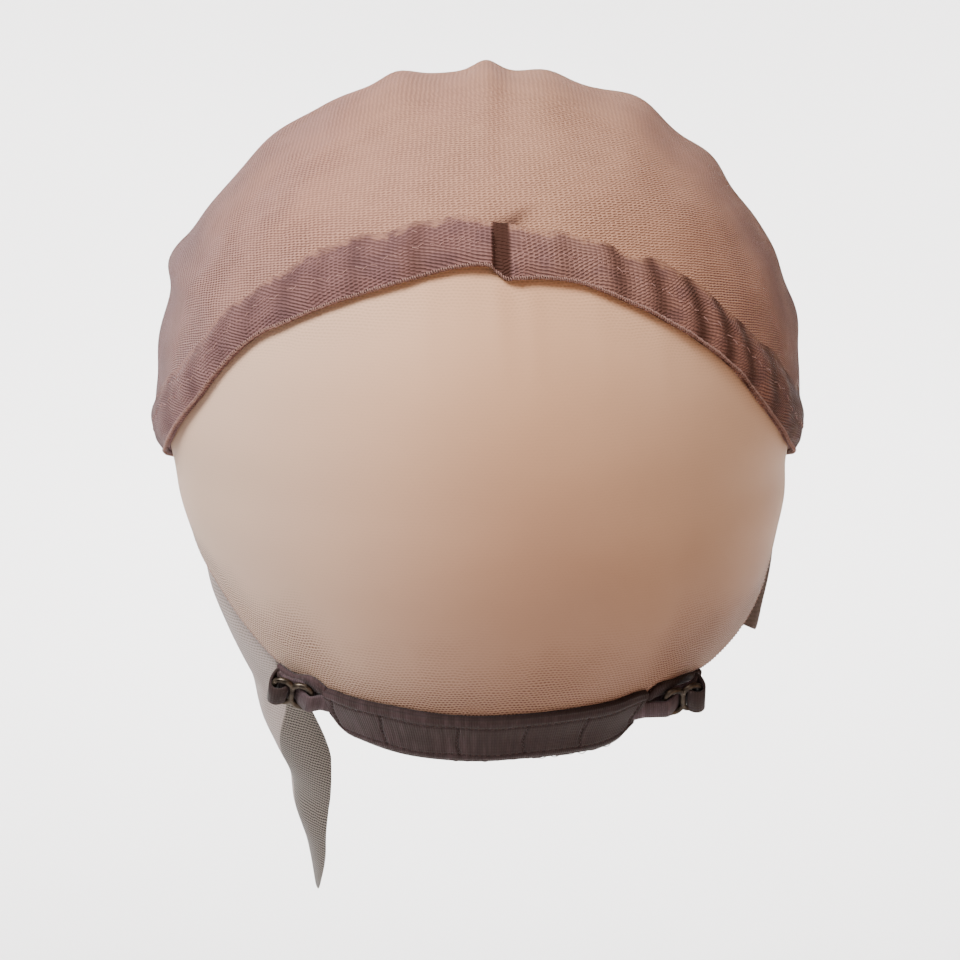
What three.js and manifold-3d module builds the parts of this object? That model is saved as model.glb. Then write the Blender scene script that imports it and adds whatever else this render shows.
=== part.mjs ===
// A wig cap: a stretch-mesh crown with a doubled back hem, a fine net panel down to a nape band,
// two adjuster straps on wire sliders, and a front lace that is left untrimmed on one side.
// Millimetres and degrees. +Z is up and the wearer faces +Y, so the back of the cap faces -Y.
// The origin is the point inside the crown where the top of the head bears.
import * as THREE from "three";
import Module from "manifold-3d";
import { mergeVertices } from "three/addons/utils/BufferGeometryUtils.js";

const wasm = await Module();
wasm.setup();

// Driving dimensions

// Sections of the head form under the cap, one row for each level. drop is the depth below the
// origin, left and right the half widths, and back and front the reach from the plane of the ears.
const HEAD_SECTIONS = [
  { drop: 0, left: 0, right: 0, back: 0, front: 0 },
  { drop: 1, left: 13.8, right: 13.8, back: 18, front: 19 },
  { drop: 3, left: 23.5, right: 23, back: 30, front: 32 },
  { drop: 6, left: 33, right: 32.6, back: 38.8, front: 40.5 },
  { drop: 10, left: 40, right: 39.7, back: 47.2, front: 49.5 },
  { drop: 15, left: 47, right: 47, back: 54.6, front: 57.6 },
  { drop: 20, left: 53, right: 53, back: 61.4, front: 65 },
  { drop: 26, left: 58.9, right: 57.8, back: 67.8, front: 72 },
  { drop: 33, left: 64.3, right: 63, back: 73.4, front: 78.6 },
  { drop: 40, left: 67.4, right: 65.8, back: 77.4, front: 84 },
  { drop: 47, left: 69, right: 68.4, back: 81, front: 88 },
  { drop: 54, left: 71, right: 70.6, back: 84.3, front: 91.5 },
  { drop: 62, left: 72.6, right: 72, back: 87.2, front: 94 },
  { drop: 70, left: 73.2, right: 73, back: 88.9, front: 95.5 },
  { drop: 80, left: 73.4, right: 73, back: 89.7, front: 96 },
  { drop: 90, left: 71.6, right: 71.6, back: 89.2, front: 95.5 },
  { drop: 98, left: 70.4, right: 71.6, back: 88.1, front: 94 },
  { drop: 106, left: 68, right: 70.2, back: 86, front: 92 },
  { drop: 114, left: 65, right: 68.6, back: 82.7, front: 89.5 },
  { drop: 121, left: 62.8, right: 66.8, back: 79, front: 87.5 },
  { drop: 129, left: 59.8, right: 63.4, back: 74.4, front: 84.5 },
  { drop: 136, left: 56.8, right: 58.8, back: 69.2, front: 81 },
  { drop: 142, left: 54, right: 54.8, back: 64.8, front: 78 },
  { drop: 150, left: 51.6, right: 52, back: 60.7, front: 73.5 },
  { drop: 163, left: 48.2, right: 49.5, back: 57, front: 67 },
  { drop: 184, left: 41.8, right: 44, back: 54, front: 60 },
  { drop: 206, left: 38.2, right: 41, back: 52, front: 57 },
];

// Edges of the cloth pieces. angle runs round the head: 0 is the middle of the back, 90 the
// wearer's right and 180 the forehead. Each other column is a drop below the origin.
// The hem follows the arched back edge of the crown from ear to ear.
const HEM_EDGES = [
  { angle: -112, top: 86, bottom: 97 },
  { angle: -100, top: 84, bottom: 96 },
  { angle: -90, top: 80.5, bottom: 92.5 },
  { angle: -80, top: 77, bottom: 89 },
  { angle: -66, top: 69, bottom: 82 },
  { angle: -54, top: 59.8, bottom: 71.4 },
  { angle: -45, top: 50.7, bottom: 61.6 },
  { angle: -38, top: 44.8, bottom: 55.4 },
  { angle: -32, top: 41.2, bottom: 52.3 },
  { angle: -26, top: 38.1, bottom: 49.3 },
  { angle: -19, top: 35.3, bottom: 46.3 },
  { angle: -11, top: 33.3, bottom: 43.4 },
  { angle: -4, top: 32.6, bottom: 41.2 },
  { angle: 3, top: 32.6, bottom: 41.2 },
  { angle: 6, top: 33.2, bottom: 43.3 },
  { angle: 10, top: 34.2, bottom: 43.2 },
  { angle: 16, top: 36, bottom: 44.1 },
  { angle: 21, top: 36.8, bottom: 46.3 },
  { angle: 26, top: 39.2, bottom: 49 },
  { angle: 31, top: 40.6, bottom: 52 },
  { angle: 38, top: 45.2, bottom: 56.8 },
  { angle: 45, top: 51, bottom: 62.6 },
  { angle: 54, top: 59.3, bottom: 72.2 },
  { angle: 66, top: 68.6, bottom: 82.5 },
  { angle: 80, top: 77, bottom: 89 },
  { angle: 90, top: 80.5, bottom: 92.5 },
  { angle: 100, top: 84, bottom: 96 },
  { angle: 112, top: 86, bottom: 97 },
];

// The crown's front edge, the same on both sides.
const FRONT_EDGE = [
  { angle: 100, drop: 96 },
  { angle: 112, drop: 97 },
  { angle: 126, drop: 88 },
  { angle: 142, drop: 74 },
  { angle: 160, drop: 62 },
  { angle: 180, drop: 57 },
];

// The net panel hangs from under the hem. Its sides run in to the adjusters.
const PANEL_BOTTOM = [
  { angle: -99, drop: 96 },
  { angle: -93, drop: 99.5 },
  { angle: -82, drop: 106 },
  { angle: -72, drop: 111 },
  { angle: -63, drop: 116.2 },
  { angle: -56, drop: 122 },
  { angle: -50.5, drop: 126.5 },
  { angle: -47, drop: 129 },
  { angle: -44, drop: 130.6 },
  { angle: -40, drop: 131.4 },
  { angle: -37, drop: 132 },
  { angle: -34, drop: 134 },
  { angle: -31, drop: 138.5 },
  { angle: -27, drop: 143.2 },
  { angle: -18, drop: 145 },
  { angle: 0, drop: 146 },
  { angle: 18, drop: 145.6 },
  { angle: 28, drop: 145.2 },
  { angle: 33, drop: 142 },
  { angle: 36, drop: 137 },
  { angle: 38, drop: 134 },
  { angle: 41, drop: 132.6 },
  { angle: 46, drop: 132.2 },
  { angle: 50, drop: 132.4 },
  { angle: 55, drop: 131.6 },
  { angle: 59, drop: 129.8 },
  { angle: 66, drop: 126.2 },
  { angle: 72, drop: 122 },
  { angle: 80, drop: 115.5 },
  { angle: 86, drop: 109.5 },
  { angle: 93, drop: 101 },
  { angle: 99, drop: 96 },
];

const BAND_EDGES = [
  { angle: -34, top: 132.2, bottom: 138.6 },
  { angle: -32.3, top: 132.2, bottom: 142.8 },
  { angle: -27, top: 133, bottom: 144.9 },
  { angle: -18, top: 133.1, bottom: 146.9 },
  { angle: -9, top: 133.7, bottom: 147.6 },
  { angle: 0, top: 134, bottom: 147.8 },
  { angle: 9, top: 133.9, bottom: 147.4 },
  { angle: 18, top: 133.6, bottom: 147.3 },
  { angle: 28, top: 133.4, bottom: 147.1 },
  { angle: 33, top: 132.4, bottom: 145.6 },
  { angle: 35.5, top: 132.6, bottom: 142.2 },
];

// The lace runs from the wearer's right ear over the forehead to a long tail on the left.
const LACE_EDGES = [
  { angle: 64, top: 124, bottom: 126 },
  { angle: 68, top: 121, bottom: 128 },
  { angle: 75, top: 115.5, bottom: 129.5 },
  { angle: 85, top: 105.5, bottom: 131 },
  { angle: 92, top: 96.5, bottom: 131 },
  { angle: 98, top: 90, bottom: 131 },
  { angle: 106, top: 89.5, bottom: 129 },
  { angle: 114, top: 89.5, bottom: 125 },
  { angle: 126, top: 81, bottom: 115 },
  { angle: 142, top: 67, bottom: 100 },
  { angle: 160, top: 55, bottom: 89 },
  { angle: 180, top: 50, bottom: 84 },
  { angle: 200, top: 55, bottom: 88 },
  { angle: 218, top: 67, bottom: 102 },
  { angle: 234, top: 81, bottom: 130 },
  { angle: 246, top: 89.5, bottom: 160 },
  { angle: 256, top: 89.5, bottom: 181 },
  { angle: 262, top: 90, bottom: 189 },
  { angle: 268, top: 96, bottom: 193 },
  { angle: 276, top: 101, bottom: 196 },
  { angle: 284, top: 105.5, bottom: 197.5 },
  { angle: 291, top: 108, bottom: 195.5 },
  { angle: 297, top: 109.5, bottom: 189 },
  { angle: 302, top: 111, bottom: 182 },
  { angle: 306, top: 112.5, bottom: 175 },
  { angle: 311, top: 116, bottom: 167 },
  { angle: 315, top: 119.5, bottom: 157 },
  { angle: 318, top: 123, bottom: 148 },
  { angle: 320.5, top: 127, bottom: 138 },
];

// How far the free ends of the lace hang out from the head form. They come free below the panel's
// edge over a run of drop, and only between the angles of each end.
const LACE_FREE = { from: 1, to: 12 };
const LACE_END_RIGHT = { until: 92, gone: 112 };
const LACE_END_LEFT = { from: 236, full: 262, until: 290, gone: 316 };
const LACE_SWING = [
  { drop: 112, left: 0, right: 0 },
  { drop: 122, left: 0, right: 0.8 },
  { drop: 132, left: 0.4, right: 2.6 },
  { drop: 142, left: 2.4, right: 3 },
  { drop: 152, left: 3.4, right: 3 },
  { drop: 160, left: 2.2, right: 3 },
  { drop: 168, left: 1, right: 3 },
  { drop: 176, left: 2, right: 3 },
  { drop: 186, left: 0.8, right: 3 },
  { drop: 198, left: 1.6, right: 3 },
];

// Soft folds that run from front to back over the crown. across is the angle from the top of
// the head towards the wearer's right, height the rise and spread the half width in degrees.
const CROWN_FOLDS = [
  { across: -84, height: 0.9, spread: 5 },
  { across: -73, height: 0.8, spread: 5 },
  { across: -59.5, height: 3.2, spread: 3.6 },
  { across: -35, height: 1.4, spread: 6 },
  { across: -13, height: 2, spread: 3.5 },
  { across: 1, height: 2.6, spread: 2.6 },
  { across: 10.5, height: 1.6, spread: 4 },
  { across: 26, height: 2.2, spread: 5 },
  { across: 40, height: 1.5, spread: 4.5 },
  { across: 57, height: 1.3, spread: 5 },
  { across: 69, height: 1.2, spread: 4.5 },
];
const FOLD_CENTRE_DROP = 84;
const FOLD_REACH = 66;

// Where the crown lifts off the head to pass over the pieces under it, as shares of its length.
const CROWN_RISE = { from: 0.2, to: 0.67 };
const CROWN_COLUMNS = 64;

// Layers, from the head outwards. A gap keeps neighbours apart.
const GAP = 0.4;
const HEM_GAP = 0.55;
const NET_THICKNESS = 1;
const MESH_THICKNESS = 1;
const HEM_THICKNESS = 1.1;
const BINDING_THICKNESS = 1;
const BAND_THICKNESS = 1.6;
const PANEL_LIFT = NET_THICKNESS + GAP;
const OVER_PANEL = PANEL_LIFT + NET_THICKNESS + GAP;
const OVER_CROWN = OVER_PANEL + MESH_THICKNESS + HEM_GAP;
const PANEL_TUCK = 7;
const PANEL_TOP_MOST = 89;
const HEM_END = 112;
const HEM_OVERHANG = 0.6;

// The pleat at the middle of the hem, and the gathers beside it.
const PLEAT = { angle: 3.8, height: 1.6, rise: 5, fall: 1.4 };
const HEM_WAVES = { count: 23, height: 0.35 };
const PLEAT_ZONE = { from: -7, to: 11, step: 3 };

// Adjusters, one for each side. angle and drop place the slider's centre, bandAngle the end of
// the nape band, and bindFrom and bindTo the ends of the binding along the panel's edge.
const SLIDER = { bar: 1.4, pitch: 4.3, height: 7.9, corner: 2, bevel: 0.4 };
const STRAP = { width: 4.4, thickness: 1 };
const TAB = { width: 4.4, reach: 1.4, thickness: 1.2, bend: 2.6 };
const SLIDER_DOWNTURN = 0.45;
const SLIDER_CLEARANCE = 1.2;
const STRAP_SETBACK = 1.2;
const BINDING_WIDTH = 2.6;
const BINDING_INSET = 0.6;

// The slider stands clear of the binding by the strap that passes under it.
const SLIDER_LIFT = OVER_PANEL + BINDING_THICKNESS + SLIDER_CLEARANCE + STRAP.thickness + SLIDER.bar / 2;
const SIDES = [
  { name: "left", angle: -40.5, drop: 132, bandAngle: -34, bindFrom: -35, bindTo: -45 },
  { name: "right", angle: 43.9, drop: 134.3, bandAngle: 35.5, bindFrom: 37.2, bindTo: 55 },
];

// The head form

const radians = THREE.MathUtils.degToRad;

// Reads a column of a table at x by a smooth curve through its rows.
function read(table, key, x, column) {
  const last = table.length - 1;
  const at = (i) => table[i][key];
  const slope = (i) => {
    const [a, b] = [Math.max(i - 1, 0), Math.min(i + 1, last)];
    return (table[b][column] - table[a][column]) / (at(b) - at(a));
  };
  let i = 0;
  while (i < last - 1 && x > at(i + 1)) i++;
  const span = at(i + 1) - at(i);
  const t = THREE.MathUtils.clamp((x - at(i)) / span, 0, 1);
  const [t2, t3] = [t * t, t * t * t];
  return (
    (2 * t3 - 3 * t2 + 1) * table[i][column] +
    (t3 - 2 * t2 + t) * span * slope(i) +
    (3 * t2 - 2 * t3) * table[i + 1][column] +
    (t3 - t2) * span * slope(i + 1)
  );
}

// The sections are read by the root of the drop, in which a rounded top is straight.
const rootedSections = HEAD_SECTIONS.map((row) => ({ ...row, root: Math.sqrt(row.drop) }));

function formPoint(angle, root) {
  const turn = radians(angle);
  const side = Math.sin(turn) > 0 ? "right" : "left";
  const reach = Math.cos(turn) > 0 ? "back" : "front";
  return new THREE.Vector3(
    read(rootedSections, "root", root, side) * Math.sin(turn),
    -read(rootedSections, "root", root, reach) * Math.cos(turn),
    -root * root,
  );
}

const NORMAL_STEP = 0.01;

function formNormal(angle, root) {
  if (root < NORMAL_STEP) return new THREE.Vector3(0, 0, 1);
  const round = formPoint(angle + NORMAL_STEP, root).sub(formPoint(angle - NORMAL_STEP, root));
  const down = formPoint(angle, root + NORMAL_STEP).sub(formPoint(angle, root - NORMAL_STEP));
  return down.cross(round).normalize();
}

// A point that stands lift above the head form.
function onHead(angle, drop, lift) {
  const root = Math.sqrt(drop);
  return formPoint(angle, root).addScaledVector(formNormal(angle, root), lift);
}

// Cloth

// A wall of cloth with an inner and an outer face, each a grid over the angles by rows.
// edges(angle) gives the drops of its top and bottom, and lift(angle, drop, share, face) the height
// over the head form, where share runs down from 0 to 1 and face is 0 inside and 1 outside.
// A dome closes round the head and over its top, where its rows lie closer.
function cloth({ angles, rows, edges, lift, dome = false }) {
  const power = dome ? 1.6 : 1;
  const columns = dome ? angles.length : angles.length - 1;
  const points = [];
  const grid = [0, 1].map((face) =>
    angles.map((angle) => {
      const { top, bottom } = edges(angle);
      return Array.from({ length: rows + 1 }, (_, j) => {
        const share = (j / rows) ** power;
        const drop = top + (bottom - top) * share;
        points.push(onHead(angle, drop, lift(angle, drop, share, face)));
        return points.length - 1;
      });
    }),
  );
  const [inner, outer] = grid;
  const index = [];
  const quad = (a, b, c, d) => {
    for (const [p, q, r] of [
      [a, b, c],
      [a, c, d],
    ]) {
      const flat = [p, q, r].some((k, n, all) => points[k].distanceTo(points[all[(n + 1) % 3]]) < 1e-4);
      if (!flat) index.push(p, q, r);
    }
  };
  for (let i = 0; i < columns; i++) {
    const n = (i + 1) % angles.length;
    for (let j = 0; j < rows; j++) {
      quad(outer[i][j], outer[i][j + 1], outer[n][j + 1], outer[n][j]);
      quad(inner[n][j], inner[n][j + 1], inner[i][j + 1], inner[i][j]);
    }
    quad(outer[n][rows], outer[i][rows], inner[i][rows], inner[n][rows]);
    if (!dome) quad(outer[i][0], outer[n][0], inner[n][0], inner[i][0]);
  }
  if (!dome) {
    for (let j = 0; j < rows; j++) {
      quad(outer[0][j + 1], outer[0][j], inner[0][j], inner[0][j + 1]);
      quad(outer[columns][j], outer[columns][j + 1], inner[columns][j + 1], inner[columns][j]);
    }
  }
  const geometry = new THREE.BufferGeometry().setFromPoints(points);
  geometry.setIndex(index);
  return mergeVertices(geometry, 1e-4);
}

// Evenly spaced angles, both ends included.
function spread(from, to, steps) {
  return Array.from({ length: steps + 1 }, (_, i) => from + ((to - from) * i) / steps);
}

// The drop of the crown's edge: the hem's arch at the back, and the plain front edge beyond it.
function crownEdge(angle) {
  const turned = angle > 180 ? angle - 360 : angle;
  if (Math.abs(turned) < HEM_END) return read(HEM_EDGES, "angle", turned, "bottom");
  return read(FRONT_EDGE, "angle", Math.abs(turned), "drop");
}

// How far the folds lift the crown at a place on the head form.
function foldLift(angle, drop) {
  const p = onHead(angle, drop, 0);
  const across = THREE.MathUtils.radToDeg(Math.atan2(p.x, p.z + FOLD_CENTRE_DROP));
  const fade = Math.max(0, 1 - (p.y / FOLD_REACH) ** 2);
  return CROWN_FOLDS.reduce((sum, fold) => {
    const off = (across - fold.across) / fold.spread;
    return sum + fold.height * Math.exp(-off * off) * fade;
  }, 0);
}

// The crown lies on the head at its top and over the panel and the lace at its edge.
function crownLift(angle, drop, share) {
  return OVER_PANEL * THREE.MathUtils.smoothstep(share, CROWN_RISE.from, CROWN_RISE.to) + foldLift(angle, drop);
}

function crownGeometry() {
  return cloth({
    angles: spread(-180, 180, CROWN_COLUMNS).slice(0, -1),
    rows: 14,
    dome: true,
    edges: (angle) => ({ top: 0, bottom: crownEdge(angle) }),
    lift: (angle, drop, share, face) => crownLift(angle, drop, share) + face * MESH_THICKNESS,
  });
}

// The pleat swells towards its fold and drops sharply on the far side.
function pleatLift(angle) {
  const off = angle - PLEAT.angle;
  const width = off < 0 ? PLEAT.rise : PLEAT.fall;
  return PLEAT.height * Math.exp(-((off / width) ** 2));
}

function hemLift(angle, drop, share, face) {
  const wave = HEM_WAVES.height * (1 + Math.sin(radians(angle * HEM_WAVES.count))) * Math.sin(Math.PI * share);
  const over = foldLift(angle, drop) + pleatLift(angle);
  return OVER_CROWN + over + face * (HEM_THICKNESS + wave);
}

// The hem has closer columns where the pleat lies.
function hemGeometry() {
  const { from, to, step } = PLEAT_ZONE;
  return cloth({
    angles: [
      ...spread(-HEM_END, from - step, 26),
      ...spread(from, to, 14),
      ...spread(to + step, HEM_END, 25),
    ],
    rows: 3,
    edges: (angle) => ({
      top: read(HEM_EDGES, "angle", angle, "top"),
      bottom: read(HEM_EDGES, "angle", angle, "bottom") + HEM_OVERHANG,
    }),
    lift: hemLift,
  });
}

function panelGeometry() {
  return cloth({
    angles: [...spread(-99, -57, 9), ...spread(-53, 66, 34), ...spread(70, 99, 7)],
    rows: 10,
    edges: (angle) => ({
      top: Math.min(crownEdge(angle) - PANEL_TUCK, PANEL_TOP_MOST),
      bottom: read(PANEL_BOTTOM, "angle", angle, "drop"),
    }),
    lift: (angle, drop, share, face) => PANEL_LIFT + face * NET_THICKNESS,
  });
}

// The free ends of the lace stand off the head below the panel, the tail's rear edge least.
function laceSwing(angle, drop) {
  const { smoothstep } = THREE.MathUtils;
  const right = angle < 180;
  const end = right ? LACE_END_RIGHT : LACE_END_LEFT;
  const below = drop - read(PANEL_BOTTOM, "angle", right ? angle : angle - 360, "drop");
  const free = smoothstep(below, LACE_FREE.from, LACE_FREE.to);
  const starts = right ? 1 : smoothstep(angle, end.from, end.full);
  const near = starts * (1 - smoothstep(angle, end.until, end.gone));
  return read(LACE_SWING, "drop", drop, right ? "right" : "left") * free * near;
}

function laceGeometry() {
  return cloth({
    angles: [...spread(64, 250, 29), ...spread(255, 299, 11), ...spread(302, 320.5, 6)],
    rows: 10,
    edges: (angle) => ({
      top: read(LACE_EDGES, "angle", angle, "top"),
      bottom: read(LACE_EDGES, "angle", angle, "bottom"),
    }),
    lift: (angle, drop, share, face) => laceSwing(angle, drop) + face * NET_THICKNESS,
  });
}

function bandGeometry() {
  const [first, last] = [BAND_EDGES[0].angle, BAND_EDGES.at(-1).angle];
  return cloth({
    angles: spread(first, last, 28),
    rows: 3,
    edges: (angle) => ({
      top: read(BAND_EDGES, "angle", angle, "top"),
      bottom: read(BAND_EDGES, "angle", angle, "bottom"),
    }),
    lift: (angle, drop, share, face) => OVER_PANEL + face * BAND_THICKNESS,
  });
}

// Adjusters

// A closed outline of a strip of the given thickness along a path of 2D points.
function stripShape(path, thickness) {
  const half = thickness / 2;
  const side = (sign) =>
    path.map((p, i) => {
      const ahead = path[Math.min(i + 1, path.length - 1)];
      const behind = path[Math.max(i - 1, 0)];
      const along = ahead.clone().sub(behind).normalize();
      return new THREE.Vector2(p.x - sign * half * along.y, p.y + sign * half * along.x);
    });
  return new THREE.Shape([...side(-1), ...side(1).reverse()]);
}

// Points on a circle about a bar of the slider, from one angle to another.
function around(centreX, radius, from, to, steps) {
  return spread(from, to, steps).map(
    (a) => new THREE.Vector2(centreX + radius * Math.cos(radians(a)), radius * Math.sin(radians(a))),
  );
}

// A strip is cut in the slider's own plane: x runs towards the band, y outwards from the head.
// It is then turned so that its width runs up the head.
function strip(shape, width) {
  const geometry = new THREE.ExtrudeGeometry(shape, { depth: width, bevelEnabled: false });
  return geometry.translate(0, 0, -width / 2).rotateX(Math.PI / 2);
}

// The elastic leaves the band, passes over the near bar and ends under the middle one.
function strapGeometry(start) {
  const radius = SLIDER.bar / 2 + GAP + STRAP.thickness / 2;
  const crossing = THREE.MathUtils.radToDeg(Math.acos((2 * radius) / SLIDER.pitch));
  const path = [
    start,
    ...around(SLIDER.pitch, radius, 70, 180 - crossing, 5),
    ...around(0, radius, -crossing, -115, 5),
  ];
  return strip(stripShape(path, STRAP.thickness), STRAP.width);
}

// A ribbon loop round the far bar, whose end bends in to the cloth.
function tabGeometry() {
  const outer = SLIDER.bar / 2 + GAP + STRAP.thickness;
  const farEnd = -SLIDER.pitch - outer - TAB.reach;
  const half = TAB.thickness / 2;
  const shape = new THREE.Shape();
  shape.moveTo(farEnd, -TAB.bend - half);
  shape.quadraticCurveTo(farEnd + TAB.reach * 0.6, -TAB.bend, -SLIDER.pitch - outer * 0.5, -outer * 0.87);
  shape.absarc(-SLIDER.pitch, 0, outer, -radians(120), radians(120), false);
  shape.quadraticCurveTo(farEnd + TAB.reach * 0.6, -TAB.bend + half * 2, farEnd, -TAB.bend + half);
  const hole = new THREE.Path();
  hole.absarc(-SLIDER.pitch, 0, SLIDER.bar / 2 + GAP, 0, 2 * Math.PI, true);
  shape.holes.push(hole);
  const geometry = new THREE.ExtrudeGeometry(shape, { depth: TAB.width, bevelEnabled: false, curveSegments: 5 });
  return geometry.translate(0, 0, -TAB.width / 2).rotateX(Math.PI / 2);
}

// A rectangle with round corners, as a shape or as a hole.
function roundedRect(Kind, centreX, width, height, corner) {
  const [x, y] = [width / 2 - corner, height / 2 - corner];
  const path = new Kind();
  path.absarc(centreX + x, y, corner, 0, Math.PI / 2, false);
  path.absarc(centreX - x, y, corner, Math.PI / 2, Math.PI, false);
  path.absarc(centreX - x, -y, corner, Math.PI, 1.5 * Math.PI, false);
  path.absarc(centreX + x, -y, corner, 1.5 * Math.PI, 2 * Math.PI, false);
  path.closePath();
  return path;
}

function solidOf(geometry) {
  const bare = geometry.clone().deleteAttribute("normal").deleteAttribute("uv");
  const merged = mergeVertices(bare, 1e-4);
  return new wasm.Manifold(
    new wasm.Mesh({
      numProp: 3,
      vertProperties: merged.attributes.position.array,
      triVerts: new Uint32Array(merged.index.array),
    }),
  );
}

function geometryOf(solid) {
  const mesh = solid.getMesh();
  const geometry = new THREE.BufferGeometry();
  geometry.setAttribute("position", new THREE.BufferAttribute(mesh.vertProperties, 3));
  geometry.setIndex(new THREE.BufferAttribute(mesh.triVerts, 1));
  return geometry;
}

// Two wire loops side by side that share the middle bar.
function sliderGeometry() {
  const { bar, pitch, height, corner, bevel } = SLIDER;
  const loop = (centreX) => {
    const shape = roundedRect(THREE.Shape, centreX, pitch + bar - 2 * bevel, height - 2 * bevel, corner - bevel);
    const inside = corner - bar + bevel;
    shape.holes.push(
      roundedRect(THREE.Path, centreX, pitch - bar + 2 * bevel, height - 2 * bar + 2 * bevel, inside),
    );
    const geometry = new THREE.ExtrudeGeometry(shape, {
      depth: bar - 2 * bevel,
      bevelThickness: bevel,
      bevelSize: bevel,
      bevelSegments: 1,
      curveSegments: 2,
    });
    return solidOf(geometry.translate(0, 0, bevel - bar / 2));
  };
  return geometryOf(loop(-pitch / 2).add(loop(pitch / 2)));
}

// A ribbon laid along the lower edge of the panel, from the band's corner past the slider.
function bindingGeometry(side) {
  return cloth({
    angles: spread(side.bindFrom, side.bindTo, 6).sort((a, b) => a - b),
    rows: 1,
    edges: (angle) => {
      const bottom = read(PANEL_BOTTOM, "angle", angle, "drop") - BINDING_INSET;
      return { top: bottom - BINDING_WIDTH, bottom };
    },
    lift: (angle, drop, share, face) => OVER_PANEL + face * BINDING_THICKNESS,
  });
}

// Materials

function material(color, roughness, metalness = 0) {
  return new THREE.MeshStandardMaterial({ color, roughness, metalness });
}

const stretchMesh = material(0xc3a294, 0.85);
const doubledMesh = material(0x8a6661, 0.85);
const nudeNet = material(0xc7a890, 0.7);
const frontNet = material(0x9a8c88, 0.8);
const ribbon = material(0x4c3a3c, 0.7);
const elastic = material(0x55464a, 0.75);
const bronzedWire = material(0x6b5d49, 0.35, 0.9);

// The assembly

const cap = new THREE.Group();

function add(name, geometry, finish, parent = cap) {
  const mesh = new THREE.Mesh(geometry, finish);
  mesh.name = name;
  parent.add(mesh);
}

add("crown", crownGeometry(), stretchMesh);
add("crown_hem", hemGeometry(), doubledMesh);
add("back_panel", panelGeometry(), nudeNet);
add("front_lace", laceGeometry(), frontNet);
add("nape_band", bandGeometry(), ribbon);

for (const side of SIDES) {
  const centre = onHead(side.angle, side.drop, SLIDER_LIFT);
  const { angle, top, bottom } = BAND_EDGES.find((row) => row.angle === side.bandAngle);
  const along = onHead(angle, (top + bottom) / 2, OVER_PANEL + BAND_THICKNESS - STRAP.thickness / 2).sub(centre);
  const length = along.length();
  along.normalize();
  const outward = formNormal(side.angle, Math.sqrt(side.drop));
  outward.z *= SLIDER_DOWNTURN;
  outward.addScaledVector(along, -outward.dot(along)).normalize();

  const adjuster = new THREE.Group();
  adjuster.position.copy(centre);
  adjuster.setRotationFromMatrix(
    new THREE.Matrix4().makeBasis(along, outward.clone().cross(along), outward),
  );
  cap.add(adjuster);

  const strapStart = new THREE.Vector2(length - STRAP_SETBACK, 0);
  add(`strap_${side.name}`, strapGeometry(strapStart), elastic, adjuster);
  add(`slider_${side.name}`, sliderGeometry(), bronzedWire, adjuster);
  add(`tab_${side.name}`, tabGeometry(), ribbon, adjuster);
  add(`binding_${side.name}`, bindingGeometry(side), ribbon);
}

export default cap;
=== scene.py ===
import math

import bpy
import numpy as np
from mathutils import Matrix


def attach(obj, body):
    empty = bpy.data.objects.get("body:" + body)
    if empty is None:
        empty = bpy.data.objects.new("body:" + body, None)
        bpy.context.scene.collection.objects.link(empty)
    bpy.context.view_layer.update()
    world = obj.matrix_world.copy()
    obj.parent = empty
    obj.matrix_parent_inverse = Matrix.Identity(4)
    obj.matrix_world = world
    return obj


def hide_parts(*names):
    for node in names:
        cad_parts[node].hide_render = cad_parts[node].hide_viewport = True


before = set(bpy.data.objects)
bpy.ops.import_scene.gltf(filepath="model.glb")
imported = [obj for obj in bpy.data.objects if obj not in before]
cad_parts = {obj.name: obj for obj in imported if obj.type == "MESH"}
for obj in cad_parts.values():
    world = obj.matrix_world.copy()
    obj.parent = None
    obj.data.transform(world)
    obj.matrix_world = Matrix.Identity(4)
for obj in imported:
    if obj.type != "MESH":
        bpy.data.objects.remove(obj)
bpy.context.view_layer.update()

# The crown
# A dome of fine stretch mesh, knitted from nylon and dyed rose brown. It is cut in one piece and pulled
# over the head, so its courses run from ear to ear and it settles in soft folds from front to back.

# Sections of the head form under the cap, in millimetres: the drop below the top of the head, the
# half widths, and the reach to the back and the front.
HEAD = {
    "drop": [0, 1, 3, 6, 10, 15, 20, 26, 33, 40, 47, 54, 62, 70, 80, 90, 98, 106, 114, 121, 129, 136, 142,
             150, 163, 184, 206],
    "left": [0, 13.8, 23.5, 33, 40, 47, 53, 58.9, 64.3, 67.4, 69, 71, 72.6, 73.2, 73.4, 71.6, 70.4, 68, 65,
             62.8, 59.8, 56.8, 54, 51.6, 48.2, 41.8, 38.2],
    "right": [0, 13.8, 23, 32.6, 39.7, 47, 53, 57.8, 63, 65.8, 68.4, 70.6, 72, 73, 73, 71.6, 71.6, 70.2, 68.6,
              66.8, 63.4, 58.8, 54.8, 52, 49.5, 44, 41],
    "back": [0, 18, 30, 38.8, 47.2, 54.6, 61.4, 67.8, 73.4, 77.4, 81, 84.3, 87.2, 88.9, 89.7, 89.2, 88.1, 86,
             82.7, 79, 74.4, 69.2, 64.8, 60.7, 57, 54, 52],
    "front": [0, 19, 32, 40.5, 49.5, 57.6, 65, 72, 78.6, 84, 88, 91.5, 94, 95.5, 96, 95.5, 94, 92, 89.5, 87.5,
              84.5, 81, 78, 73.5, 67, 60, 57],
}
HEAD["root"] = [math.sqrt(drop) for drop in HEAD["drop"]]

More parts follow.
